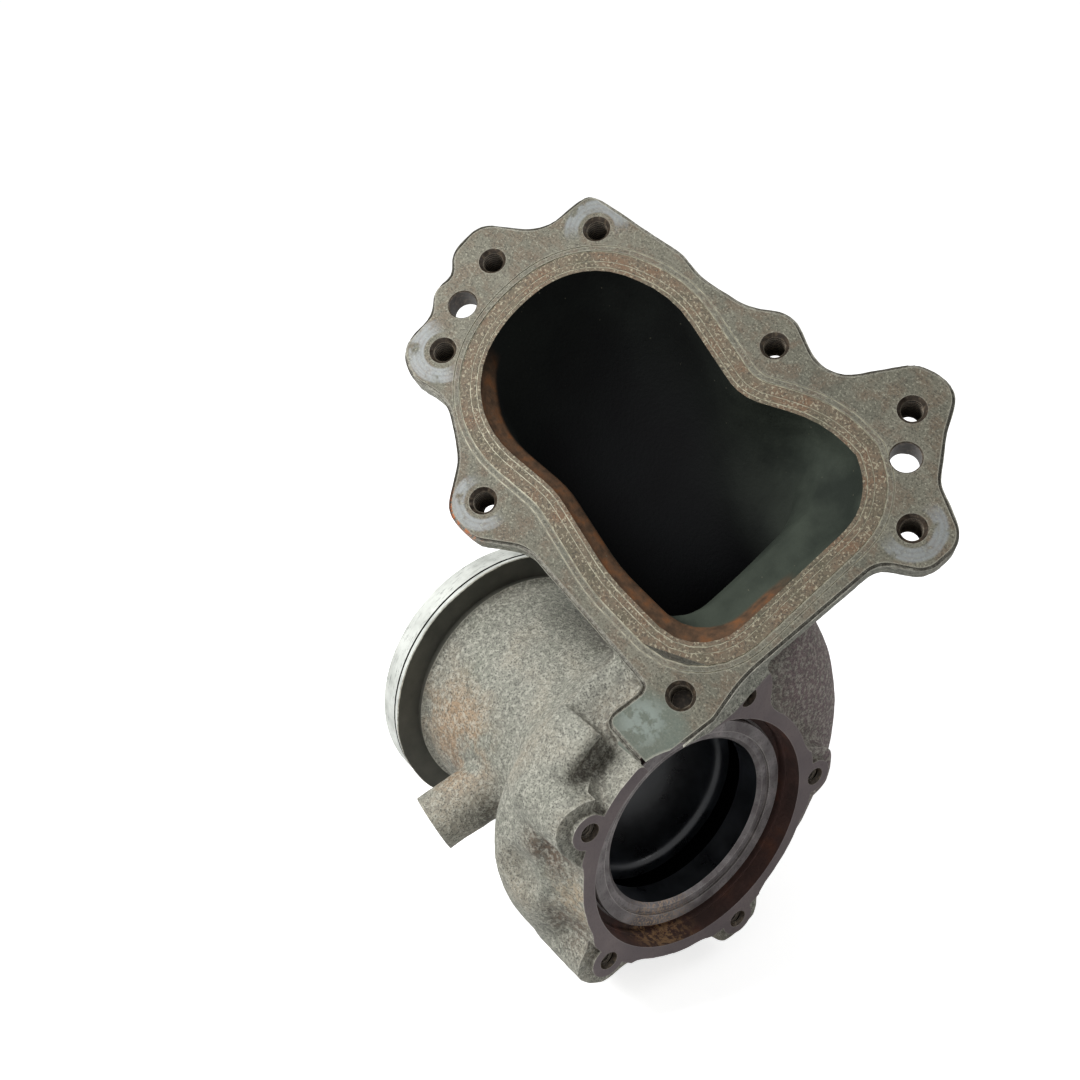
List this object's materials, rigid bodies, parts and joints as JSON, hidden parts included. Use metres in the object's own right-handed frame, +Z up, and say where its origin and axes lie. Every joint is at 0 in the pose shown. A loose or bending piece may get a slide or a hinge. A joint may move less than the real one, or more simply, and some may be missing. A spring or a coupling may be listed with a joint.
{
  "type": "turbocharger housing",
  "caption": "Cast iron turbine housing of a turbocharger, with a wide inlet flange, a tapering scroll, a round bearing-side flange and an outlet pipe with a clamp ring.",
  "frame": {"origin": "on the wheel axis, in the plane of the round bearing-side flange's face", "axes": "+X along the wheel axis out of the bearing-side flange, +Z up with the inlet flange above and in front, +Y to the back"},
  "size_m": [0.2089, 0.1945, 0.2842],
  "materials": {
    "turbine_housing": "rough sand-cast skin with machined flange faces, stained and rusted"
  },
  "bodies": {
    "root": {"turbine_housing": "turbine_housing"}
  },
  "joints": []
}
